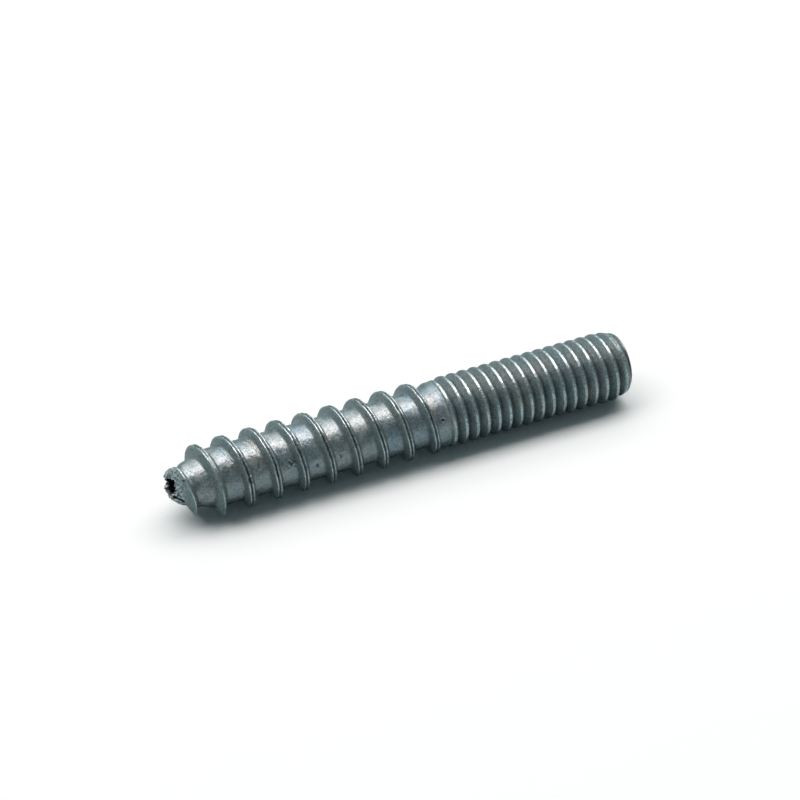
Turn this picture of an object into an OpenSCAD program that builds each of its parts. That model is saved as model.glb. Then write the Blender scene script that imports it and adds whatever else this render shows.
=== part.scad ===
// Hanger bolt: a headless steel fastener with a coarse wood-screw thread at one end and a
// machine thread at the other. It lies on its side along X, with the wood tip towards -X.
// Angles run round the axis from +Y towards +Z. Lengths are in millimetres.

/* [Overall] */
// Length from the broken tip to the machine end
overall_length = 64.3; // [55:0.1:100]

/* [Wood thread] */
// Diameter over the crests
wood_crest_d = 9.8; // [9.4:0.05:11]
// Height of the crests above the plain root
wood_depth = 1.05; // [0.8:0.05:1.4]
// Distance from one turn to the next
wood_pitch = 3.629; // [3.3:0.001:4.5]
// Width of the flat along the crest
wood_crest_w = 0.42; // [0.2:0.02:0.8]
// Slope of each flank, in degrees from square to the axis
wood_flank = 30; // [20:1:35]
// Angle at which the crest line, carried on, would meet the plane of the tip
wood_clock = -67.5; // [-180:0.5:0]
// Turn, in degrees, over which the thread sinks into the collar
wood_runout = 96; // [60:12:180]

/* [Tip] */
// Diameter of the blunt cone at the plane of the tip
tip_d = 2.6; // [2.5:0.05:3.4]
// Diameter at the back of the blunt cone
nose_d = 4.3; // [4.2:0.05:5]
// Length of the blunt cone
nose_l = 1.3; // [0.8:0.05:2]
// Diameter over the thread's edge beside the back of the blunt cone
nose_edge_d = 6.6; // [6:0.05:7.2]
// Distance from the tip at which the root is full
root_full_l = 6.6; // [5:0.1:10]
// Distance from the tip at which the crest is full
crest_full_l = 6.5; // [5:0.1:10]
// Angle at which the thread starts to rise beside the end
tip_start = 72; // [48:12:120]
// Turn, in degrees, over which it rises
tip_runin = 72; // [36:12:120]
// Lean of the torn face, in degrees from square to the axis
tear_lean = 20; // [0:1:25]
// Angle round the axis of the side that the torn face leans to
tear_clock = 141; // [-180:1:180]
// Distance from the tip at which the torn face crosses the axis
tear_at = 0.35; // [0.1:0.05:0.5]
// Mean width of the pit in the torn face
crater_d = 1.7; // [1.2:0.05:1.8]
// How far the edge of the pit wanders from that width
crater_jag = 0.14; // [0:0.01:0.15]
// Depth of the pit
crater_depth = 2.2; // [1:0.1:3]

/* [Collar] */
// How far the plain band between the threads lies below the machine crests
collar_drop = 0.3; // [0.1:0.05:0.5]
// Length of that band
collar_l = 1; // [0.6:0.05:3]
// Length of the slope from the wood root up to the band
collar_rise = 1.2; // [0.6:0.05:2]

/* [Machine thread] */
// Length from the collar to the machine end
machine_l = 26.7; // [20:0.1:40]
// Major diameter
machine_major_d = 9.4; // [9.25:0.05:9.75]
// Depth of the valleys below the major diameter
machine_depth = 0.93; // [0.85:0.01:0.97]
// Distance from one turn to the next
machine_pitch = 1.5875; // [1.5875:0.0005:1.8]
// Width of the flat along the crest
machine_crest_w = 0.25; // [0.15:0.01:0.28]
// Slope of each flank, in degrees from square to the axis
machine_flank = 30; // [25:0.5:30]
// Angle at which the crest line meets the end face
machine_clock = 36; // [-180:0.5:180]
// Turn, in degrees, over which the thread rises out of the collar
machine_runin = 96; // [48:12:180]
// Diameter of the flat end face
end_face_d = 7.2; // [6.8:0.05:7.35]
// Diameter at the outer edge of the bevel round the end face
end_edge_d = 8.3; // [8.05:0.05:8.6]
// Length of that bevel
end_bevel_l = 0.3; // [0.1:0.02:0.5]
// Length of the taper over which the thread is cut down to the bevel
end_taper_l = 2.1; // [1:0.05:3]

/* [Hidden] */

// Straight steps in one turn of a thread: a flat between two steps faces the floor
turn_steps = 30;
step_angle = 360 / turn_steps;
// Sides of a turned surface when it is drawn as a mesh
round_steps = 60;
// How deep the foot of each ridge is sunk in the core, and spare room beyond a cut
wood_sink = 0.4;
machine_sink = 0.15;
spare = 1;
// Steps along the swelling of the tip, and points round the pit
ogive_steps = 8;
crater_points = 20;
// Waves round the edge of the pit: how many of each, and the share of each
crater_waves = [3, 5, 8];
crater_shares = [1, 0.6, 0.4];
// How far the pit lies off the axis, and at which angle
crater_off = 0.2;
crater_clock = 50;

wood_crest_r = wood_crest_d / 2;
wood_root_r = wood_crest_r - wood_depth;
tip_r = tip_d / 2;
nose_r = nose_d / 2;
nose_edge_r = nose_edge_d / 2;
machine_major_r = machine_major_d / 2;
machine_minor_r = machine_major_r - machine_depth;
collar_r = machine_major_r - collar_drop;
widest_r = max(wood_crest_r, machine_major_r);

// Stations along the axis, measured from the tip
collar_end = overall_length - machine_l;
collar_start = collar_end - collar_l;
collar_foot = collar_start - collar_rise;
collar_mid = (collar_start + collar_end) / 2;

// Height of the axis when a flat of the widest crest lies on the floor
axis_z = widest_r * cos(step_angle / 2);

// Radius, at a distance from the tip, of what swells from the back of the blunt cone
function ogive_r(from_r, full_r, full_l, at) =
    from_r + (full_r - from_r) * sin(90 * max(0, min(1, (at - nose_l) / (full_l - nose_l))));

// Share of its height that a ridge has at a step, where it goes from none to full
function rise(step, none_at, full_at) = max(0, min(1, (step - none_at) / (full_at - none_at)));

// Section across a ridge, as pairs of distance along the axis and radius
function ridge_section(crest_r, foot_r, crest_w, flank) =
    let (foot_w = crest_w + 2 * (crest_r - foot_r) * tan(flank))
    [[-foot_w / 2, foot_r], [-crest_w / 2, crest_r], [crest_w / 2, crest_r], [foot_w / 2, foot_r]];

// A right-hand helical ridge, from sections swept round the axis in equal steps
module helical_ridge(pitch, zero_at, first, sections) {
    corners = len(sections[0]);
    last = len(sections) - 1;
    points = [
        for (i = [0 : last], corner = sections[i])
            let (angle = (first + i) * step_angle)
            [zero_at + pitch * angle / 360 + corner[0], corner[1] * cos(angle), corner[1] * sin(angle)]
    ];
    skin = [
        for (i = [0 : last - 1], j = [0 : corners - 1])
            let (k = (j + 1) % corners, near = i * corners, far = near + corners)
            each [[near + j, near + k, far + k], [near + j, far + k, far + j]]
    ];
    end = last * corners;
    caps = [[3, 2, 1], [3, 1, 0], [end, end + 1, end + 2], [end, end + 2, end + 3]];
    polyhedron(points = points, faces = concat(skin, caps), convexity = 10);
}

// The coarse ridge rises beside the torn end, swells with the tip and sinks into the collar
module wood_ridge() {
    zero_at = -wood_pitch * wood_clock / 360;
    first = round(tip_start / step_angle);
    last = floor((collar_mid - zero_at) / wood_pitch * turn_steps);
    sections = [
        for (i = [first : last])
            let (
                at = zero_at + wood_pitch * i / turn_steps,
                height = rise(i, first, first + tip_runin / step_angle)
                    * rise(i, last, last - wood_runout / step_angle),
                root_r = ogive_r(nose_r, wood_root_r, root_full_l, at - wood_pitch / 2),
                buried_r = root_r - wood_sink / 2,
                crest_r = ogive_r(nose_edge_r, wood_crest_r, crest_full_l, at)
            )
            ridge_section(buried_r + (crest_r - buried_r) * height,
                root_r - wood_sink, wood_crest_w, wood_flank)
    ];
    helical_ridge(wood_pitch, zero_at, first, sections);
}

// The fine ridge rises from the collar and runs on past the end face
module machine_ridge() {
    zero_at = overall_length - machine_pitch * machine_clock / 360;
    first = ceil((collar_mid - zero_at) / machine_pitch * turn_steps);
    last = ceil((overall_length + machine_pitch - zero_at) / machine_pitch * turn_steps);
    buried_r = collar_r - machine_sink;
    sections = [
        for (i = [first : last])
            let (height = rise(i, first, first + machine_runin / step_angle))
            ridge_section(buried_r + (machine_major_r - buried_r) * height,
                machine_minor_r - machine_sink, machine_crest_w, machine_flank)
    ];
    helical_ridge(machine_pitch, zero_at, first, sections);
}

// Turns a profile of radius and distance from the tip about the axis
module turned(profile) {
    rotate([0, 90, 0]) rotate_extrude($fn = round_steps) polygon(profile);
}

// The metal inside the threads
module core() {
    turned([
        [0, 0], [tip_r, 0],
        for (i = [0 : ogive_steps])
            let (at = nose_l + (root_full_l - nose_l) * i / ogive_steps)
            [ogive_r(nose_r, wood_root_r, root_full_l, at), at],
        [wood_root_r, collar_foot], [collar_r, collar_start], [collar_r, collar_end],
        [machine_minor_r, collar_end], [machine_minor_r, overall_length + spare],
        [0, overall_length + spare]
    ]);
}

// Everything that the taper and the bevel at the machine end leave standing
module end_limit() {
    room_r = widest_r + spare;
    taper_start = overall_length - end_bevel_l - end_taper_l;
    turned([
        [0, -spare], [room_r, -spare], [room_r, taper_start - spare],
        [machine_major_r, taper_start],
        [end_edge_d / 2, overall_length - end_bevel_l],
        [end_face_d / 2, overall_length], [0, overall_length]
    ]);
}

// What the tear took: the leaning slice off the end, and the pit with a wandering edge
module tear() {
    slice_w = 2 * (tip_r + spare);
    edge = [
        for (i = [0 : crater_points - 1])
            let (
                angle = i * 360 / crater_points,
                wander = crater_shares * [for (count = crater_waves) sin(count * angle)],
                r = crater_d / 2 + crater_jag * wander
            )
            [r * cos(angle), r * sin(angle)]
    ];
    translate([tear_at, 0, 0]) rotate([tear_clock, 0, 0]) rotate([0, 0, -tear_lean]) {
        translate([-slice_w, -slice_w / 2, -slice_w / 2]) cube(slice_w);
        rotate([crater_clock - tear_clock, 0, 0]) translate([-spare, crater_off, 0])
            rotate([0, 90, 0]) linear_extrude(crater_depth + spare) polygon(edge);
    }
}

module hanger_bolt() {
    color([0.62, 0.65, 0.67])
    translate([-overall_length / 2, 0, axis_z])
    difference() {
        intersection() {
            union() {
                core();
                wood_ridge();
                machine_ridge();
            }
            end_limit();
        }
        tear();
    }
}

hanger_bolt();
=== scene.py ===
# %% [markdown]
# # A hanger bolt
# A hanger bolt is a steel rod without a head. One half has a coarse thread that bites into
# wood, the other half a fine thread that takes a nut. This one is zinc plated, its tip was
# torn off when the bars were parted, and the crests of its wood thread are rolled double.
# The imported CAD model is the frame. It gives the size, and the looks are built around it.

# %% Load the frame
import math

import bpy
import numpy as np
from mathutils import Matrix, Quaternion, Vector


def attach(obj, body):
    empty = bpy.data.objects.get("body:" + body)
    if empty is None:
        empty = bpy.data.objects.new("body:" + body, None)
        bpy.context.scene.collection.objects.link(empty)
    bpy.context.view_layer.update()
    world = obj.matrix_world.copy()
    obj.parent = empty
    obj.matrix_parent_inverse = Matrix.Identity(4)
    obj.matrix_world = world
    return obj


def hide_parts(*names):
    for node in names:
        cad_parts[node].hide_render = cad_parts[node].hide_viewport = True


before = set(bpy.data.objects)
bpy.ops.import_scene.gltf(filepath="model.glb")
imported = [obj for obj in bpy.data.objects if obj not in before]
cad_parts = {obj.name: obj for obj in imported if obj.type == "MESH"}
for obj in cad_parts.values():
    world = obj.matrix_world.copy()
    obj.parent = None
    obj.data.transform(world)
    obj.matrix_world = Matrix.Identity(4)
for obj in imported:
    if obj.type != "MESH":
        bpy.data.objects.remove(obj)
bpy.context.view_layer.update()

# %% [markdown]
# ## Camera
# The place of the camera was worked out from the spacing of the turns: both threads have
# known pitches, so their crest lines fix the angle, the distance and the lens.

# %% Camera
MM = 0.001
CAMERA_AT = Vector((-99.639, -224.609, 198.419)) * MM
CAMERA_YAW, CAMERA_PITCH, CAMERA_ROLL = 0.41712, 0.65715, -0.0088
LENS_MM, SENSOR_MM = 108.0, 36.0
NEAREST_SEEN = 10 * MM

bpy.ops.object.select_all(action="DESELECT")
bpy.ops.object.camera_add(location=CAMERA_AT)
camera = bpy.context.object
camera.name = "camera"
camera.data.lens = LENS_MM
camera.data.sensor_width = SENSOR_MM
camera.data.clip_start = NEAREST_SEEN
look = Vector((
    math.sin(CAMERA_YAW) * math.cos(CAMERA_PITCH),
    math.cos(CAMERA_YAW) * math.cos(CAMERA_PITCH),
    -math.sin(CAMERA_PITCH),
))
roll = Quaternion((0, 0, 1), CAMERA_ROLL)
camera.rotation_euler = (look.to_track_quat("-Z", "Y") @ roll).to_euler()
bpy.context.scene.camera = camera
print("camera looks along", tuple(round(v, 3) for v in look))

# %% [markdown]
# ## Table
# The bolt lies on a plain white table. The camera sees the table in full white, while the
# metal mirrors it as a cool grey, so that the sides of the bolt stay dark as in a real studio
# where the table is small. One Mix node, switched by the kind of ray, does both. The two
# helpers here are used again for the room and for the plating.

# %% Table
TABLE_SIZE = 4.0
WHITE = (1.0, 1.0, 1.0, 1)
TABLE_MIRRORED = (0.455, 0.562, 0.582, 1)


def plug(tree, value, socket):
    if isinstance(value, bpy.types.NodeSocket):
        tree.links.new(value, socket)
    else:
        socket.default_value = value


def mix(tree, kind, share, first, second):
    node = tree.nodes.new("ShaderNodeMix")
    node.data_type = kind
    for value, name in ((share, "Factor"), (first, "A"), (second, "B")):
        plug(tree, value, node.inputs[name])
    return node.outputs["Result"]


bpy.context.scene.view_settings.view_transform = "Standard"
bpy.ops.object.select_all(action="DESELECT")
bpy.ops.mesh.primitive_plane_add(size=TABLE_SIZE, location=(0, 0, 0))
table = bpy.context.object
table.name = "white_table"
table_white = bpy.data.materials.new("table_white")
table_white.use_nodes = True
tree = table_white.node_tree
shader = tree.nodes["Principled BSDF"]
shader.inputs["Roughness"].default_value = 1.0
shader.inputs["Specular IOR Level"].default_value = 0.0
rays = tree.nodes.new("ShaderNodeLightPath")
seen = mix(tree, "RGBA", rays.outputs["Is Camera Ray"], TABLE_MIRRORED, WHITE)
tree.links.new(seen, shader.inputs["Base Color"])
table.data.materials.append(table_white)
print("table", TABLE_SIZE, "m wide")

# %% [markdown]
# ## Room
# The room round the table is dim, and slightly green and brighter where the sides of the
# metal mirror it. A white card stands behind the bolt: only the metal sees it, low in the
# room. It has no object of its own, because its soft edges are easier to set in the world
# by the direction of a ray. The camera itself sees plain white beyond the table.

# %% Room
ROOM_COLOUR = (0.71, 0.98, 1.03, 1)
ROOM_LIGHT, ROOM_MIRRORED, CARD_MIRRORED = 0.12, 0.25, 1.1
# Where each soft edge of the card starts and ends, as a share of a ray's length along an axis
CARD_FOOT, CARD_TOP, CARD_BEHIND = (0.18, 0.34), (0.58, 0.70), (0.3, 0.6)


def remap(tree, value, span, to=(0.0, 1.0), kind="LINEAR"):
    node = tree.nodes.new("ShaderNodeMapRange")
    node.interpolation_type = kind
    tree.links.new(value, node.inputs["Value"])
    for name, number in zip(("From Min", "From Max", "To Min", "To Max"), (*span, *to)):
        node.inputs[name].default_value = number
    return node.outputs["Result"]


room = bpy.data.worlds.new("dim_room")
room.use_nodes = True
bpy.context.scene.world = room
tree = room.node_tree
way = tree.nodes.new("ShaderNodeSeparateXYZ")
tree.links.new(tree.nodes.new("ShaderNodeTexCoord").outputs["Generated"], way.inputs["Vector"])
foot = remap(tree, way.outputs["Z"], CARD_FOOT, kind="SMOOTHSTEP")
top = remap(tree, way.outputs["Z"], CARD_TOP, kind="SMOOTHSTEP")
behind = remap(tree, way.outputs["Y"], CARD_BEHIND, kind="SMOOTHSTEP")
card = mix(tree, "FLOAT", foot, ROOM_MIRRORED, CARD_MIRRORED)
card = mix(tree, "FLOAT", top, card, ROOM_MIRRORED)
card = mix(tree, "FLOAT", behind, ROOM_MIRRORED, card)

rays = tree.nodes.new("ShaderNodeLightPath")
strength = mix(tree, "FLOAT", rays.outputs["Is Glossy Ray"], ROOM_LIGHT, card)
strength = mix(tree, "FLOAT", rays.outputs["Is Camera Ray"], strength, 1.0)
hue = mix(tree, "RGBA", rays.outputs["Is Camera Ray"], ROOM_COLOUR, WHITE)
background = tree.nodes["Background"]
tree.links.new(strength, background.inputs["Strength"])
tree.links.new(hue, background.inputs["Color"])
print("room:", len(tree.nodes), "nodes")

# %% [markdown]
# ## Lamps
# One big soft lamp hangs above the bolt and makes the short shadow towards the viewer. A
# weaker one behind it stretches the bright patch on the upper front of every turn.

# %% Lamps
LAMPS = [
    # name, direction, width and height in metres, watts
    ("overhead_lamp", (0.0, 0.15, 0.99), (2.2, 0.55), 13.0),
    ("back_lamp", (0.0, 0.62, 0.78), (1.6, 0.45), 3.2),
]
LAMP_DISTANCE = 1.0
LAMP_COLOUR = (1.0, 0.985, 0.97)

for name, direction, (width, height), watts in LAMPS:
    towards = Vector(direction).normalized()
    bpy.ops.object.select_all(action="DESELECT")
    bpy.ops.object.light_add(type="AREA", location=towards * LAMP_DISTANCE)
    lamp = bpy.context.object
    lamp.name = name
    lamp.data.shape = "RECTANGLE"
    lamp.data.size, lamp.data.size_y = width, height
    lamp.data.energy = watts
    lamp.data.color = LAMP_COLOUR
    lamp.rotation_euler = (-towards).to_track_quat("-Z", "Y").to_euler()
    print(name, watts, "W,", width, "by", height, "m")

# %% [markdown]
# ## Sizes
# These are the sizes of the CAD model, in millimetres, measured from the tip. Only the wood
# crests stand 0.05 mm prouder, because their lips are rolled up. A crest line is a straight
# rule in unrolled turns: turn number times pitch. Both lines meet at the collar.

# %% Sizes
LENGTH = 64.3
CREST_R, ROOT_R = 4.95, 3.85
MAJOR_R, MINOR_R = 4.7, 3.77
COLLAR_R = 4.4
AXIS_Z = 4.8732
WOOD_PITCH, MACHINE_PITCH = 3.629, 1.5875
WOOD_ZERO = 0.680
MACHINE_ZERO = 21.27875
MEET_TURN = (MACHINE_ZERO - WOOD_ZERO) / (WOOD_PITCH - MACHINE_PITCH)
print("the crest lines meet at turn", round(MEET_TURN, 2))

# %% [markdown]
# ## One strip, swept into a tube
# A thread could be cut out of a rod, but then its edges never lie on the crest. Here a short
# line of points, one pitch long, is extruded from a single vertex and swept by a Screw
# modifier. Every turn ends where the next one starts, so welding the doubles gives one
# tube whose rows all follow the thread.

# %% Strip and sweep
ROWS = 26
STEPS = 80
FIRST_TURN, LAST_TURN = -2, 29
STRIP_PITCH = 4 * MM
STRIP_R = 5 * MM

bpy.ops.object.select_all(action="DESELECT")
bpy.ops.mesh.primitive_plane_add(size=STRIP_R, location=(0, 0, 0))
bolt = bpy.context.object
bolt.name = "zinc_bolt"
bpy.ops.object.mode_set(mode="EDIT")
bpy.ops.mesh.select_all(action="SELECT")
bpy.ops.mesh.merge(type="CENTER")
bpy.ops.transform.translate(value=(0, STRIP_R, 0))
for _ in range(ROWS):
    bpy.ops.mesh.extrude_region_move(TRANSFORM_OT_translate={"value": (STRIP_PITCH / ROWS, 0, 0)})
bpy.ops.object.mode_set(mode="OBJECT")

sweep = bolt.modifiers.new("sweep", "SCREW")
sweep.axis = "X"
sweep.angle = math.tau
sweep.screw_offset = STRIP_PITCH
sweep.steps = sweep.render_steps = STEPS
sweep.iterations = LAST_TURN - FIRST_TURN
bpy.ops.object.modifier_apply(modifier="sweep")
bpy.ops.object.mode_set(mode="EDIT")
bpy.ops.mesh.select_all(action="SELECT")
bpy.ops.mesh.remove_doubles(threshold=STRIP_PITCH / ROWS / 10)
bpy.ops.object.mode_set(mode="OBJECT")
print("tube of", len(bolt.data.vertices), "points,", len(bolt.data.polygons), "faces")

# %% [markdown]
# ## Where the rows lie
# The plain tube tells where each point belongs: its angle round the axis, its row across the
# strip and the turn it lies on. A wood turn has a wide plain root and a narrow double crest,
# so its rows crowd together at the crest. A machine turn is an even V. Each list gives the
# distance of a row from the crest. The first turns stray a little from the rule, and the last
# ones are stretched, because their rows have to reach the middle of the end face.

# %% Rows along the axis
WOOD_ROWS = [
    -1.8145, -1.5, -1.2, -1.0, -0.85, -0.72, -0.52, -0.37, -0.31, -0.25, -0.19, -0.14, -0.07,
    0, 0.05, 0.1, 0.15, 0.2, 0.26, 0.31, 0.37, 0.55, 0.72, 0.9, 1.15, 1.45, 1.8145,
]
MACHINE_ROWS = [
    -0.79375, -0.76, -0.7, -0.63, -0.55, -0.46, -0.37, -0.3, -0.25, -0.21, -0.17, -0.13, -0.065,
    0, 0.065, 0.13, 0.17, 0.21, 0.25, 0.3, 0.37, 0.46, 0.55, 0.63, 0.7, 0.76, 0.79375,
]
STRAY_TURNS = [
    0.05, 0.2, 0.38, 0.5, 0.62, 0.8, 1.0, 1.14, 1.4, 1.62, 1.85, 2.14, 2.4, 2.62, 2.9,
    3.14, 3.4, 3.62, 3.9, 4.14, 4.4, 4.62, 4.9,
]
STRAY_MM = [
    -0.3, -0.4, -0.28, -0.2, -0.5, -0.25, -0.25, -0.4, -0.1, -0.7, -0.2, -0.35, -0.05, -0.45, -0.1,
    -0.15, 0, -0.35, 0, -0.15, 0, -0.2, 0,
]
LAST_FULL_TURN = 27.6
STRETCHED_PITCH = 4.4
CHANGE_TURNS = (MEET_TURN - 0.5, MEET_TURN + 0.5)
ROUND_OFF = 1e-6


def smooth_step(value, low, high):
    share = np.clip((value - low) / (high - low), 0, 1)
    return share * share * (3 - 2 * share)


def crest_line(turns):
    wood = WOOD_ZERO + WOOD_PITCH * turns
    machine = MACHINE_ZERO + MACHINE_PITCH * turns
    stretch = (STRETCHED_PITCH - MACHINE_PITCH) * np.maximum(0, turns - LAST_FULL_TURN)
    return np.where(turns < MEET_TURN, wood, machine) + stretch


def stray(turns):
    return np.interp(turns, STRAY_TURNS, STRAY_MM)


def read_points():
    spots = np.empty(len(bolt.data.vertices) * 3)
    bolt.data.vertices.foreach_get("co", spots)
    return spots.reshape(-1, 3)


def place_rows(spots):
    angles = np.degrees(np.arctan2(spots[:, 2], spots[:, 1])) % 360
    strips = spots[:, 0] / STRIP_PITCH - angles / 360
    whole = np.floor(strips + ROUND_OFF)
    turns = FIRST_TURN + whole + angles / 360
    row = (strips - whole) * ROWS
    numbers = np.arange(ROWS + 1)
    wood = np.interp(row, numbers, WOOD_ROWS) / (WOOD_PITCH / 2)
    machine = np.interp(row, numbers, MACHINE_ROWS) / (MACHINE_PITCH / 2)
    share = wood + (machine - wood) * smooth_step(turns, *CHANGE_TURNS)
    here, before, after = crest_line(turns), crest_line(turns - 1), crest_line(turns + 1)
    at = here + share * np.where(share < 0, here - before, after - here) / 2
    return at + stray(turns) * (1 - share ** 2), angles


along, angle = place_rows(read_points())
print("rows run from", round(along.min(), 2), "to", round(along.max(), 2), "mm")

# %% [markdown]
# ## Marks
# The bolt was tumbled in a barrel, so its root has dents, short scratches and small pits,
# and its tip is cracked. The marks that the photograph shows are listed here as distance
# from the tip and angle. Each is pressed in as a short line, so a round dent is a line with
# one point, and a negative depth is a raised burr. The mesh is subdivided round the marks and
# at the tip only, which keeps the rest light.

# %% Marks and a finer mesh where they are
DENTS = [
    # width, depth, points of the line
    (0.12, 0.17, [(15.2, 150), (15.5, 158), (15.84, 151)]),
    (0.16, -0.06, [(15.75, 160), (15.8, 166)]),
    (0.12, 0.14, [(14.95, 161)]),
    (0.12, 0.17, [(11.24, 138), (11.24, 147)]),
    (0.20, 0.10, [(10.6, 86), (10.68, 93)]),
    (0.12, 0.08, [(10.83, 115)]),
    (0.15, 0.08, [(18.45, 109), (18.6, 113)]),
    (0.12, 0.15, [(18.85, 172), (18.9, 178)]),
    (0.11, 0.15, [(22.1, 163), (22.14, 172)]),
    (0.18, -0.05, [(25.39, 171)]),
    (0.26, 0.10, [(26.46, 191), (26.5, 200)]),
    (0.15, 0.16, [(19.3, 214), (19.45, 226)]),
    (0.16, 0.09, [(29.6, 178), (29.75, 186)]),
    (0.20, 0.26, [(36.41, 153)]),
    (0.13, 0.06, [(37.10, 120), (37.10, 150)]),
    (0.10, 0.06, [(2.33, 90), (2.84, 116)]),
    (0.09, -0.05, [(7.51, 78), (7.72, 101), (8.2, 122)]),
    (0.09, 0.06, [(7.33, 78), (7.54, 101), (8.02, 122)]),
    (0.09, -0.05, [(11.36, 80), (11.57, 103), (11.81, 120)]),
    (0.09, 0.06, [(11.18, 80), (11.39, 103), (11.63, 120)]),
    (0.10, 0.22, [(1.5, 129)]),
    (0.13, 0.40, [(-0.1, 214), (0.39, 196), (0.62, 194), (0.95, 196), (1.3, 203)]),
    (0.10, 0.30, [(-0.1, 184), (0.28, 180), (0.6, 178)]),
    (0.12, 0.35, [(-0.5, 252), (-0.2, 248)]),
    (0.12, 0.35, [(-0.3, 228), (0.1, 226)]),
]
# Radius at which a mark is drawn, by its distance from the tip
MARK_R_AT, MARK_R = [0, 6], [1.3, 3.6]
FINE_MARGIN = 0.45
FINE_TIP = (-1.3, 2.3)
FAR_AWAY, TINY = 99.0, 1e-9


def angle_from(angles, middle):
    return (angles - middle + 180) % 360 - 180


def line_distance(at, angles, points):
    nearest = np.full_like(at, FAR_AWAY)
    ends = list(zip(points, points[1:])) or [(points[0], points[0])]
    for (first_at, first_angle), (last_at, last_angle) in ends:
        mm_per_degree = math.radians(np.interp(first_at, MARK_R_AT, MARK_R))
        run = np.array([last_at - first_at, mm_per_degree * (last_angle - first_angle)])
        from_first = np.stack([at - first_at, mm_per_degree * angle_from(angles, first_angle)], -1)
        share = np.clip(from_first @ run / max(run @ run, TINY), 0, 1)
        nearest = np.minimum(nearest, np.linalg.norm(from_first - share[:, None] * run, axis=1))
    return nearest


fine = (along > FINE_TIP[0]) & (along < FINE_TIP[1])
for width, depth, points in DENTS:
    fine |= line_distance(along, angle, points) < width + FINE_MARGIN

bpy.ops.object.mode_set(mode="EDIT")
bpy.ops.mesh.select_mode(type="VERT")
bpy.ops.mesh.select_all(action="DESELECT")
bpy.ops.object.mode_set(mode="OBJECT")
bolt.data.vertices.foreach_set("select", fine)
bpy.ops.object.mode_set(mode="EDIT")
bpy.ops.mesh.select_mode(type="FACE")
bpy.ops.mesh.subdivide(number_cuts=2, ngon=False)
bpy.ops.object.mode_set(mode="OBJECT")
along, angle = place_rows(read_points())
print("finer mesh:", len(bolt.data.vertices), "points")

# %% [markdown]
# ## Small unevenness
# Rolled and plated steel is never quite even. A sum of a few seeded waves, whole numbers of
# them round the bolt, gives a gentle unevenness that joins up and is the same on every run.

# %% Waves
def waves(seed, at, angles, finest_mm, most_round, count=24):
    random = np.random.default_rng(seed)
    total = np.zeros_like(at)
    for _ in range(count):
        length = finest_mm * random.uniform(1, 4)
        number = random.integers(-most_round, most_round + 1)
        start = random.uniform(0, math.tau)
        total += np.sin(math.tau * at / length + np.radians(angles) * number + start)
    return total / math.sqrt(count / 2)


print("waves along 3 mm:", waves(1, np.linspace(0, 3, 4), np.zeros(4), 1.0, 5).round(2))

# %% [markdown]
# ## The core
# Inside the threads the bolt is a turned rod: a blunt cone at the tip, a swelling up to the
# plain root, a collar, and the bottom of the machine thread. The tear pulled the cone out of
# round: it has a lobe on its far upper side and a belly on its near lower side.

# %% Core
NOSE_R, NOSE_SLOPE, NOSE_L = 1.15, 0.75, 1.3
NOSE_BACK_R = NOSE_R + NOSE_SLOPE * NOSE_L
ROOT_FULL_AT = 6.6
LOBE_AT = [0, 0.3, 0.7, 1.2, 1.6, 2.2, 3.5]
LOBE_R = [0.86, 0.98, 0.84, 0.34, 0.0, 0.25, 0]
LOBE_ANGLE, LOBE_BEFORE, LOBE_AFTER = 52, 20, 45
BELLY_AT = [0, 0.4, 0.9, 1.4, 2.2]
BELLY_R = [0.08, 0.16, 0.28, 0.2, 0]
BELLY_ANGLE, BELLY_WIDTH = 228, 40
COLLAR_RISE, COLLAR_FALL = (35.3, 36.6), (37.45, 37.75)


def bell(value, middle, width):
    return np.exp(-((value - middle) / width) ** 2)


def swell(at, from_r, full_r, full_at):
    share = np.clip((at - NOSE_L) / (full_at - NOSE_L), 0, 1)
    return from_r + (full_r - from_r) * np.sin(math.pi / 2 * share)


def core_radius(at, angles):
    off_lobe = angle_from(angles, LOBE_ANGLE)
    width = np.where(off_lobe < 0, LOBE_BEFORE, LOBE_AFTER)
    lobe = np.interp(at, LOBE_AT, LOBE_R) * bell(off_lobe, 0, width)
    belly = np.interp(at, BELLY_AT, BELLY_R) * bell(angle_from(angles, BELLY_ANGLE), 0, BELLY_WIDTH)
    nose = NOSE_R + NOSE_SLOPE * np.clip(at, 0, NOSE_L)
    root = swell(at, NOSE_BACK_R, ROOT_R, ROOT_FULL_AT)
    body = np.where(at < NOSE_L, nose, root) + lobe + belly
    body = body + (COLLAR_R - ROOT_R) * smooth_step(at, *COLLAR_RISE)
    return body + (MINOR_R - body) * smooth_step(at, *COLLAR_FALL)


print("core radius at 0, 10 and 37 mm:", core_radius(np.array([0.0, 10, 37]), np.zeros(3)).round(2))
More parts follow.
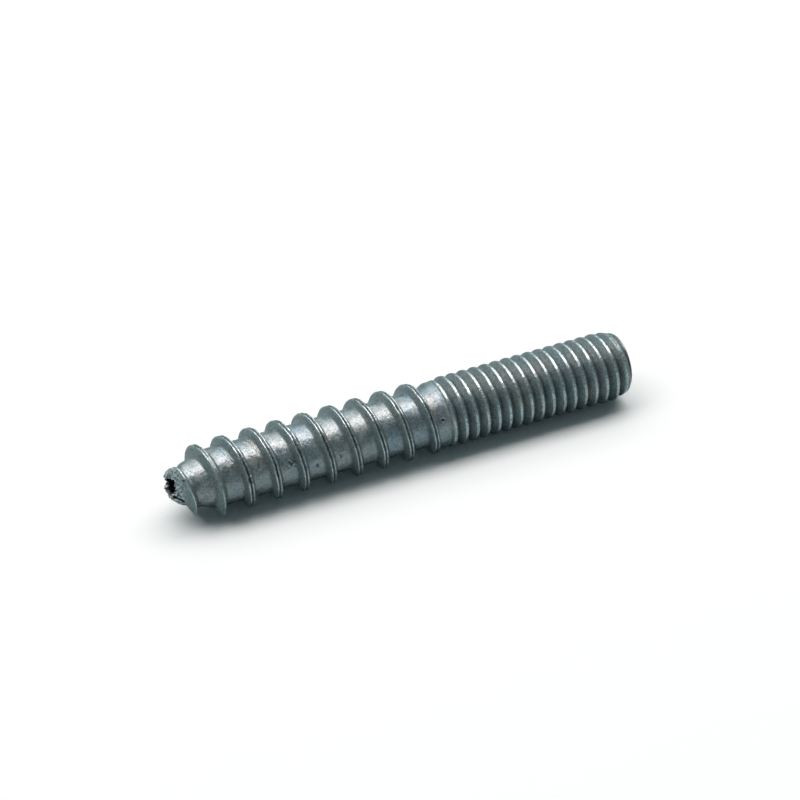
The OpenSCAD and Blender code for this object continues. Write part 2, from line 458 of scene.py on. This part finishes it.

# %% [markdown]
# ## The wood thread
# The height of a wood turn is drawn across its width: plain root, hollow foot, flank, two
# lips with a groove between them. Near the tip the rolls left a single edge instead. There
# the ridge rises beside the torn end and swells with the root, and at its other end it sinks
# into the collar. Some flash stands out or is missing on the first turns, and the lips are
# nicked: a few nicks are listed one by one, and the small ones are seeded.

# %% Wood thread
WOOD_ACROSS = [
    -0.95, -0.85, -0.78, -0.72, -0.37, -0.31, -0.25, -0.19, -0.14, -0.07,
    0, 0.05, 0.1, 0.15, 0.2, 0.26, 0.31, 0.37, 0.6, 0.72, 0.85,
]
DOUBLE_LIP = [
    0, 0.015, 0.06, 0.15, 0.86, 0.955, 1, 0.985, 0.92, 0.79,
    0.76, 0.79, 0.9, 0.965, 0.98, 0.95, 0.88, 0.77, 0.22, 0.06, 0,
]
SINGLE_EDGE = [
    0, 0.015, 0.06, 0.15, 0.6, 0.67, 0.73, 0.8, 0.87, 0.975,
    1, 0.985, 0.91, 0.8, 0.72, 0.63, 0.55, 0.46, 0.11, 0.04, 0,
]
DOUBLE_TURNS = [0.98, 1.06, 1.18, 1.5, 1.74, 1.9]
DOUBLE_SHARES = [0, 1, 1, 0, 0, 1]
FLASH_TURNS = [0.5, 0.62, 0.75, 1.36, 1.5, 1.62, 1.68, 1.75]
FLASH_MM = [0, -0.2, 0, 0, 0.15, 0.25, 0.15, 0]
TIP_CREST_R, CREST_FULL_AT = 3.3, 6.5
RISE_TURNS, FADE_TURNS = (0.12, 0.28), (9.76, 10.06)
LIP_EDGE = (0.24, 0.36)
WANDER_MM, WANDER_LENGTH, MM_PER_TURN = 0.015, 1.5, 30
NICKS = [
    # turn, depth, width in turns
    (2.44, 0.2, 0.012), (1.2, 0.14, 0.012), (1.06, 0.1, 0.01), (3.3, 0.1, 0.01),
    (4.38, 0.15, 0.01), (5.43, 0.12, 0.012), (7.24, 0.15, 0.014), (8.32, 0.12, 0.01),
]
# Depth at which a nick's painted shade is full: nicks are darkened as painted shade
NICK_BLACK = 0.2
SMALL_NICKS = 150
LEAST_NICK, MOST_NICK = (0.9, 0.03, 0.006), (9.8, 0.1, 0.014)
NICKS.extend(np.random.default_rng(5).uniform(LEAST_NICK, MOST_NICK, (SMALL_NICKS, 3)))


def wood_ridge(at, angles):
    number = (at - WOOD_ZERO) / WOOD_PITCH - angles / 360
    turns = np.rint(number) + angles / 360
    across = (number - np.rint(number)) * WOOD_PITCH - stray(turns)
    across = across + WANDER_MM * waves(21, turns * MM_PER_TURN, angles, WANDER_LENGTH, most_round=0)
    crest = swell(WOOD_ZERO + WOOD_PITCH * turns, TIP_CREST_R, CREST_R, CREST_FULL_AT)
    crest = crest + np.interp(turns, FLASH_TURNS, FLASH_MM)
    full = smooth_step(turns, *RISE_TURNS) * (1 - smooth_step(turns, *FADE_TURNS))
    lips = full * (1 - smooth_step(np.abs(across), *LIP_EDGE))
    nicked = np.zeros_like(at)
    for nick_turn, depth, width in NICKS:
        nicked = np.maximum(nicked, depth * lips * bell(turns, nick_turn, width))
    double = np.interp(turns, DOUBLE_TURNS, DOUBLE_SHARES)
    height = np.interp(across, WOOD_ACROSS, DOUBLE_LIP) * double
    height = height + np.interp(across, WOOD_ACROSS, SINGLE_EDGE) * (1 - double)
    return turns, across, crest - nicked, full * height, full * double, nicked / NICK_BLACK


wood_turn, wood_across, wood_crest, wood_height, wood_double, nicked = wood_ridge(along, angle)
print(len(NICKS), "nicks, wood crests up to", round(wood_crest.max(), 2), "mm from the axis")

# %% [markdown]
# ## The machine thread
# The fine thread is an even V with a narrow rounded crest. It climbs out of the collar in a
# third of a turn, and a taper and a bevel cut it down again at the end, as on a rolled bar
# whose end was chamfered first.

# %% Machine thread
MACHINE_ACROSS = [-0.79, -0.25, -0.21, -0.17, -0.13, 0, 0.13, 0.17, 0.21, 0.25, 0.79]
MACHINE_HEIGHT = [0, 0.85, 0.92, 0.965, 0.985, 1, 0.985, 0.965, 0.92, 0.85, 0]
MACHINE_RISE_TURNS = (9.95, 10.25)
MACHINE_FROM = 36
END_AT = [61.8, 63.95, 64.2, 64.3]
END_RADII = [4.78, 4.15, 3.9, 3.6]
NO_LIMIT = 9.0


def machine_ridge(at, angles):
    number = (at - MACHINE_ZERO) / MACHINE_PITCH - angles / 360
    turns = np.rint(number) + angles / 360
    across = (number - np.rint(number)) * MACHINE_PITCH
    full = smooth_step(turns, *MACHINE_RISE_TURNS) * (at > MACHINE_FROM)
    return across, full * np.interp(across, MACHINE_ACROSS, MACHINE_HEIGHT)


def end_limit(at):
    return np.where(at < END_AT[0], NO_LIMIT, np.interp(at, END_AT, END_RADII))


machine_across, machine_height = machine_ridge(along, angle)
print("machine thread on", int((machine_height > 0).sum()), "points")

# %% [markdown]
# ## The whole surface
# The surface is the highest of core and ridges, with the marks pressed in and a little
# unevenness. Rows that run past the far end fold over it and close in on the axis. The end
# face is slightly dished, as a sheared bar is.

# %% Surface and end face
UNEVEN_MM, UNEVEN_LENGTH, UNEVEN_ROUND = 0.008, 1.2, 14
DISH_MM, DISH_EDGE = 0.12, (0.1, 1.2)

core = core_radius(along, angle)
radius = core + np.maximum(0, wood_crest - core) * wood_height
machine_r = MINOR_R + (MAJOR_R - MINOR_R) * machine_height
radius = np.maximum(radius, np.where(machine_height > 0, machine_r, 0))
radius = np.minimum(radius, end_limit(along))
pressed = np.zeros_like(along)
for width, depth, points in DENTS:
    pressed = pressed + depth * bell(line_distance(along, angle, points), 0, width)
radius = radius - pressed + UNEVEN_MM * waves(31, along, angle, UNEVEN_LENGTH, UNEVEN_ROUND)

past_end = np.maximum(0, along - LENGTH)
radius = np.where(past_end > 0, np.maximum(0, END_RADII[-1] - past_end), radius)
along = np.where(past_end > 0, LENGTH - DISH_MM * smooth_step(past_end, *DISH_EDGE), along)
print("deepest mark", round(pressed.max(), 2), "mm, rows past the end", round(past_end.max(), 2), "mm")

# %% [markdown]
# ## The torn tip
# The tip broke off and left a leaning, ragged face with a deep pit. Rows that run past the
# rim fold in: first across the face, then down the wall of the pit, then over its floor. The
# lists give the wandering rim and the wandering edge of the pit, by angle. The far side broke
# more raggedly than the near one.

# %% Torn tip
TEAR_AT, TEAR_LEAN, TEAR_CLOCK = 0.35, math.radians(20), 141
RIM_ANGLES = [0, 12, 20, 30, 45, 60, 80, 100, 121, 141, 170, 200, 225, 245, 270, 305, 320, 333, 345]
RIM_AT = [
    -0.07, -0.05, 0.32, 0.1, -0.08, 0.02, 0.34, 0.62, 0.8, 0.86,
    0.79, 0.6, 0.3, 0.07, 0.01, -0.1, -0.22, -0.33, -0.22,
]
PIT_ANGLES = [12, 24, 40, 65, 85, 101, 121, 148, 171, 200, 236, 267, 293, 321, 344]
PIT_RADII = [1.0, 1.3, 1.45, 1.5, 1.66, 1.54, 1.4, 1.18, 0.94, 0.85, 0.9, 0.97, 0.9, 0.85, 0.86]
RIM_LOW, WALL_MIN = -0.4, 0.06
PIT_DEPTH, PIT_TAPER, FLOOR_W, FLOOR_EDGE = 2.3, 0.4, 1.2, 0.7
NEAR_ANGLE = 120
RAG_MM = 0.05
FACE_LUMPS, PIT_LUMPS = 0.09, 0.45

rag = waves(11, np.zeros_like(angle), angle, finest_mm=1.0, most_round=11, count=14)
rag_fine = waves(12, np.zeros_like(angle), angle, finest_mm=1.0, most_round=23, count=14)
far_side = 0.5 - 0.5 * np.cos(np.radians(angle - NEAR_ANGLE))


def ragged(angles_at, values, fine_near, fine_far):
    plain = np.interp(angle, angles_at, values, period=360)
    return plain + RAG_MM * rag + (fine_near + fine_far * far_side) * rag_fine


rim_at = np.maximum(RIM_LOW, ragged(RIM_ANGLES, RIM_AT, fine_near=0.03, fine_far=0.02))
rim_r = core_radius(rim_at, angle)
pit_r = ragged(PIT_ANGLES, PIT_RADII, fine_near=0.05, fine_far=0.07)
pit_r = np.minimum(pit_r, rim_r - WALL_MIN)
face_w = rim_r - pit_r
folded = np.maximum(0, rim_at - along)
is_tip = folded > 0
on_face = np.clip(folded / face_w, 0, 1)
in_pit = np.clip((folded - face_w) / PIT_DEPTH, 0, 1)
on_floor = np.clip((folded - face_w - PIT_DEPTH) / FLOOR_W, 0, 1)
on_floor = np.where(on_floor > FLOOR_EDGE, 1, on_floor)

lumps = waves(13, folded, angle, finest_mm=0.5, most_round=16)
face_r = rim_r + (pit_r - rim_r) * on_face
wall_r = face_r * (1 - PIT_TAPER * in_pit) + PIT_LUMPS * lumps * in_pit * (1 - in_pit)
tip_r = wall_r * (1 - on_floor)
lean = math.tan(TEAR_LEAN) * np.cos(np.radians(angle - TEAR_CLOCK))
tip_at = rim_at - (rim_r - face_r) * lean
tip_at = tip_at + (FACE_LUMPS * lumps + pressed) * on_face * (1 - in_pit)
tip_at = tip_at + PIT_DEPTH * in_pit
tip_at = tip_at + (TEAR_AT + PIT_DEPTH - tip_at) * on_floor
radius = np.where(is_tip, np.maximum(0, tip_r), radius)
along = np.where(is_tip, np.maximum(RIM_LOW, tip_at), along)
print("rows past the rim", round(folded.max(), 2), "mm")

# %% [markdown]
# ## Masks
# The material needs to know what each point is: lip, groove, flank, torn metal or the bottom
# of a mark. Painting by position in the shader would need the thread's rule a second time, so
# these shares are kept on the points, where the shader can read them.

# %% Masks
LIPS_MIDDLE, LIP_AT, LIP_W = -0.025, 0.225, 0.08
START_EDGE_W, EDGE_W, EDGE_TURNS = 0.12, 0.07, (0.35, 0.6)
EDGE_HEIGHT, FLANK_HEIGHT = (0.05, 0.3), (0.05, 0.25)
GROOVE_MIDDLE, GROOVE_W = -0.02, 0.075
# The crease at the foot of the tip-side flank and the machine valleys get painted shade
CREASE_AT, CREASE_W, CREASE_TURNS, CREASE_END = -0.88, 0.07, (1.0, 1.2), 35
VALLEY_EDGE, VALLEY_FROM = (0.62, 0.78), 38.2
CREST_EDGE = (0.93, 0.99)
TORN_EDGE = (0.9, 1.6)
# Depth of a dent where its painted shade starts and where it is full
MARK_DARK = (0.07, 0.2)
# Share of the pit's depth where the painted shade starts on the far side, and where it is full
DARK_FROM, DARK_FULL, DARK_FULL_LATER = 0.08, 0.12, 0.14
# Shares: machine crests take the lip colour, machine flanks the flank's, valleys and creases painted
# shade
CREST_SHARE, FLANK_SHARE, VALLEY_SHARE, CREASE_SHARE = 0.6, 0.6, 0.25, 0.45

# Lips, the edge near the tip and machine crests: rubbed wear and painted highlight
edge_w = START_EDGE_W + (EDGE_W - START_EDGE_W) * smooth_step(wood_turn, *EDGE_TURNS)
edge = bell(wood_across, 0, edge_w) * smooth_step(wood_height, *EDGE_HEIGHT) * (1 - wood_double)
lip = np.maximum(bell(np.abs(wood_across - LIPS_MIDDLE), LIP_AT, LIP_W) * wood_double, edge)
# The groove between the lips and the nicks are darkened in colour as painted shade
groove = np.maximum(bell(wood_across, GROOVE_MIDDLE, GROOVE_W) * wood_double, nicked)
crease = bell(wood_across, CREASE_AT, CREASE_W) * smooth_step(wood_turn, *CREASE_TURNS)
crease = crease * (along < CREASE_END)
flank = smooth_step(wood_height, *FLANK_HEIGHT) * (1 - lip) * (1 - groove)

on_side = past_end == 0
machine_crest = smooth_step(machine_height, *CREST_EDGE) * on_side
flank = np.maximum(flank, FLANK_SHARE * (machine_height > 0) * (1 - machine_crest)) * on_side
valley = smooth_step(np.abs(machine_across), *VALLEY_EDGE) * (along > VALLEY_FROM) * on_side

# Painted shade in the crease and in the machine valleys, laid into the groove mask
recess_shade = np.maximum(VALLEY_SHARE * valley, CREASE_SHARE * crease)
# The pit of the torn tip and the bottoms of the dents are darkened as painted shade
pit = smooth_step(in_pit, DARK_FROM * far_side, DARK_FULL + DARK_FULL_LATER * far_side)
masks = {
    "lip": np.maximum(lip, CREST_SHARE * machine_crest) * ~is_tip,
    "groove": np.maximum(groove, recess_shade) * ~is_tip,
    "flank": flank * ~is_tip,
    "torn": np.maximum(is_tip, 1 - smooth_step(along, *TORN_EDGE)),
    "pit": np.maximum(pit, smooth_step(pressed, *MARK_DARK)),
}
for name, values in masks.items():
    layer = bolt.data.attributes.new(name, "FLOAT", "POINT")
    layer.data.foreach_set("value", values.astype(np.float32))
    print("mask", name, "covers", round(100 * values.mean(), 1), "percent of the points")

# %% [markdown]
# ## Shape and closing
# Now every point moves from the plain tube to its place. Crests that would reach below the
# table are flattened on it, as the bolt lies on them. The folded rows meet on the axis, and
# welding them closes both ends.

# %% Shape, weld and smooth
WELD_M = 1e-7
SMOOTH_BELOW = math.radians(60)

shape = np.stack([
    (along - LENGTH / 2) * MM,
    radius * np.cos(np.radians(angle)) * MM,
    np.maximum(0, radius * np.sin(np.radians(angle)) + AXIS_Z) * MM,
], -1)
bolt.data.vertices.foreach_set("co", shape.ravel())
bolt.data.update()

bpy.ops.object.mode_set(mode="EDIT")
bpy.ops.mesh.select_all(action="SELECT")
bpy.ops.mesh.remove_doubles(threshold=WELD_M)
bpy.ops.mesh.dissolve_degenerate(threshold=WELD_M)
bpy.ops.mesh.normals_make_consistent(inside=False)
bpy.ops.mesh.select_all(action="DESELECT")
bpy.ops.mesh.select_mode(type="EDGE")
bpy.ops.mesh.select_non_manifold()
bpy.ops.object.mode_set(mode="OBJECT")
bpy.ops.object.shade_smooth_by_angle(angle=SMOOTH_BELOW)
open_edges = sum(side.select for side in bolt.data.edges)
triangles = sum(len(face.vertices) - 2 for face in bolt.data.polygons)
print("bolt:", triangles, "triangles,", open_edges, "open edges")

# %% [markdown]
# ## Patterns in the plating
# Plain zinc is a grey metal with a soft, uneven shine. All its patterns are Noise textures on
# Object coordinates, at sizes in millimetres, and each has its own shift so that no two lie on
# top of each other. One is squeezed along the bolt and runs round it, as rolling marks do.

# %% Patterns
zinc = bpy.data.materials.new("zinc_plating")
zinc.use_nodes = True
tree = zinc.node_tree
bolt_place = tree.nodes.new("ShaderNodeTexCoord").outputs["Object"]


def cloud(size_mm, detail, rough=0.55, shift=0.0, squeeze=1.0):
    place = tree.nodes.new("ShaderNodeMapping")
    place.inputs["Scale"].default_value = (squeeze, 1, 1)
    tree.links.new(bolt_place, place.inputs["Vector"])
    noise = tree.nodes.new("ShaderNodeTexNoise")
    noise.noise_dimensions = "4D"
    noise.inputs["W"].default_value = shift
    noise.inputs["Scale"].default_value = 1 / (size_mm * MM)
    noise.inputs["Detail"].default_value = detail
    noise.inputs["Roughness"].default_value = rough
    tree.links.new(place.outputs["Vector"], noise.inputs["Vector"])
    return noise.outputs["Fac"]


def mask(name):
    node = tree.nodes.new("ShaderNodeAttribute")
    node.attribute_name = name
    return node.outputs["Fac"]


mottle = cloud(0.9, 4)
grain = cloud(0.2, 3, rough=0.7, shift=3.0)
streak = cloud(0.7, 3, shift=5.0, squeeze=5.0)
speck = cloud(0.35, 2, shift=13.0)
drift = cloud(5.0, 2, shift=7.0)
tint = cloud(3.2, 2, shift=11.0)
# Patches for the lips' wear and painted highlight, and for the groove's painted shade
wear_and_shade_patches = cloud(0.26, 2, shift=17.0)
print("patterns:", len(tree.nodes), "nodes")

# %% [markdown]
# ## Colour of the plating
# The colour is built in layers, each laid over the last where its pattern is strong. The
# passivation leaves faint blue and pink clouds, the flanks are a little greener and torn metal
# is coarse. The lips are rubbed, and lightened further as a painted highlight. The groove, the
# nicks, the crease, the machine valleys, the dents and the pit are darkened as painted shade.

# %% Colour
DARK_ZINC, PALE_ZINC = (0.258, 0.272, 0.275, 1), (0.41, 0.41, 0.409, 1)
TORN_PALE, TORN_DARK = (0.72, 0.75, 0.76, 1), (0.17, 0.185, 0.19, 1)
# Lip colours: rubbed metal, lightened further as painted highlight
LIP_BRIGHT, LIP_DULL = (0.95, 0.96, 0.96, 1), (0.5, 0.52, 0.52, 1)
# Painted shade for the pit and the dents: near black with grey flecks
PIT_SHADE_BLACK, PIT_GREY = (0.012, 0.013, 0.013, 1), (0.22, 0.23, 0.23, 1)
# Near black painted shade for the groove, the nicks, the crease and the machine valleys
PAINTED_SHADE = (0.02, 0.022, 0.022, 1)
# Where each pattern starts and is full, and the shares of colour that it runs between
MOTTLE_SPAN, LIP_SPAN, PIT_SPAN = (0.35, 0.65), (0.4, 0.6), (0.54, 0.62)
TORN_SPAN, TORN_SHARES = (0.42, 0.58), (0, 0.8)
RUBBED_SHEEN_SPAN, RUBBED_SHEEN_SHARES = (0.4, 0.54), (0.2, 1)
SHADE_SPAN, SHADE_SHARES = (0.6, 0.45), (0.5, 0.96)
LAYERS = [
    # pattern, where it starts and is full, share of the colour, colour
    (streak, (0.45, 0.65), 0.35, (0.48, 0.485, 0.49, 1)),
    (drift, (0.52, 0.64), 0.55, (0.50, 0.41, 0.375, 1)),
    (tint, (0.48, 0.62), 0.62, (0.27, 0.345, 0.41, 1)),
    (mask("flank"), (0, 1), 0.7, (0.285, 0.35, 0.345, 1)),
    (grain, (0.48, 0.66), 0.7, (0.11, 0.125, 0.13, 1)),
    (grain, (0.48, 0.32), 0.5, (0.62, 0.65, 0.65, 1)),
    (speck, (0.68, 0.74), 0.7, (0.06, 0.065, 0.065, 1)),
]


def blend(share, first, second):
    return mix(tree, "RGBA", share, first, second)


def grade(share, first, second):
    return mix(tree, "FLOAT", share, first, second)


colour = blend(remap(tree, mottle, MOTTLE_SPAN), DARK_ZINC, PALE_ZINC)
for pattern, span, share, metal in LAYERS:
    colour = blend(remap(tree, pattern, span, (0, share)), colour, metal)
torn_metal = blend(remap(tree, speck, TORN_SPAN), TORN_PALE, TORN_DARK)
colour = blend(remap(tree, mask("torn"), (0, 1), TORN_SHARES), colour, torn_metal)
# Lips and the edge on the torn tip: rubbed wear and painted highlight
lip_sheen = blend(remap(tree, grain, LIP_SPAN), LIP_BRIGHT, LIP_DULL)
rubbed_and_sheen = grade(mask("torn"), remap(tree, wear_and_shade_patches, RUBBED_SHEEN_SPAN, RUBBED_SHEEN_SHARES), 1.0)
colour = blend(grade(mask("lip"), 0.0, rubbed_and_sheen), colour, lip_sheen)
# Painted shade in the groove, the nicks, the crease and the machine valleys, patchy
shaded = remap(tree, wear_and_shade_patches, SHADE_SPAN, SHADE_SHARES)
colour = blend(grade(mask("groove"), 0.0, shaded), colour, PAINTED_SHADE)
# Painted shade in the pit and at the bottoms of the dents
pit_shade = blend(remap(tree, grain, PIT_SPAN), PIT_SHADE_BLACK, PIT_GREY)
colour = blend(mask("pit"), colour, pit_shade)
shader = tree.nodes["Principled BSDF"]
tree.links.new(colour, shader.inputs["Base Color"])
shader.inputs["Metallic"].default_value = 1.0
print("colour:", len(LAYERS), "layers over the base")

# %% [markdown]
# ## Shine of the plating
# The mottled plating shines unevenly, the flanks and the torn metal are matt, the rubbed lips
# shine most and the pits not at all. Two bumps, too small to model, break up the reflections.

# %% Shine and bumps
SHINE_SPAN, PLATING_ROUGHNESS = (0.3, 0.7), (0.28, 0.46)
ROUGHNESS = [("flank", 0.62), ("torn", 0.6), ("lip", 0.22), ("pit", 0.95)]
BUMPS = [
    # pattern, depth in millimetres
    (grain, 0.02),
    (mottle, 0.11),
]

roughness = remap(tree, mottle, SHINE_SPAN, PLATING_ROUGHNESS)
for name, value in ROUGHNESS:
    roughness = grade(mask(name), roughness, value)
tree.links.new(roughness, shader.inputs["Roughness"])

normal_into = shader.inputs["Normal"]
for pattern, depth in reversed(BUMPS):
    bump = tree.nodes.new("ShaderNodeBump")
    bump.inputs["Distance"].default_value = depth * MM
    tree.links.new(pattern, bump.inputs["Height"])
    tree.links.new(bump.outputs["Normal"], normal_into)
    normal_into = bump.inputs["Normal"]
bolt.data.materials.append(zinc)
print("plating:", len(tree.nodes), "nodes")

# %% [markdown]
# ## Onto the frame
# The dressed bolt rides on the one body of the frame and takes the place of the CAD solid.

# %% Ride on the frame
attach(bolt, "root")
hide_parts("hanger_bolt")
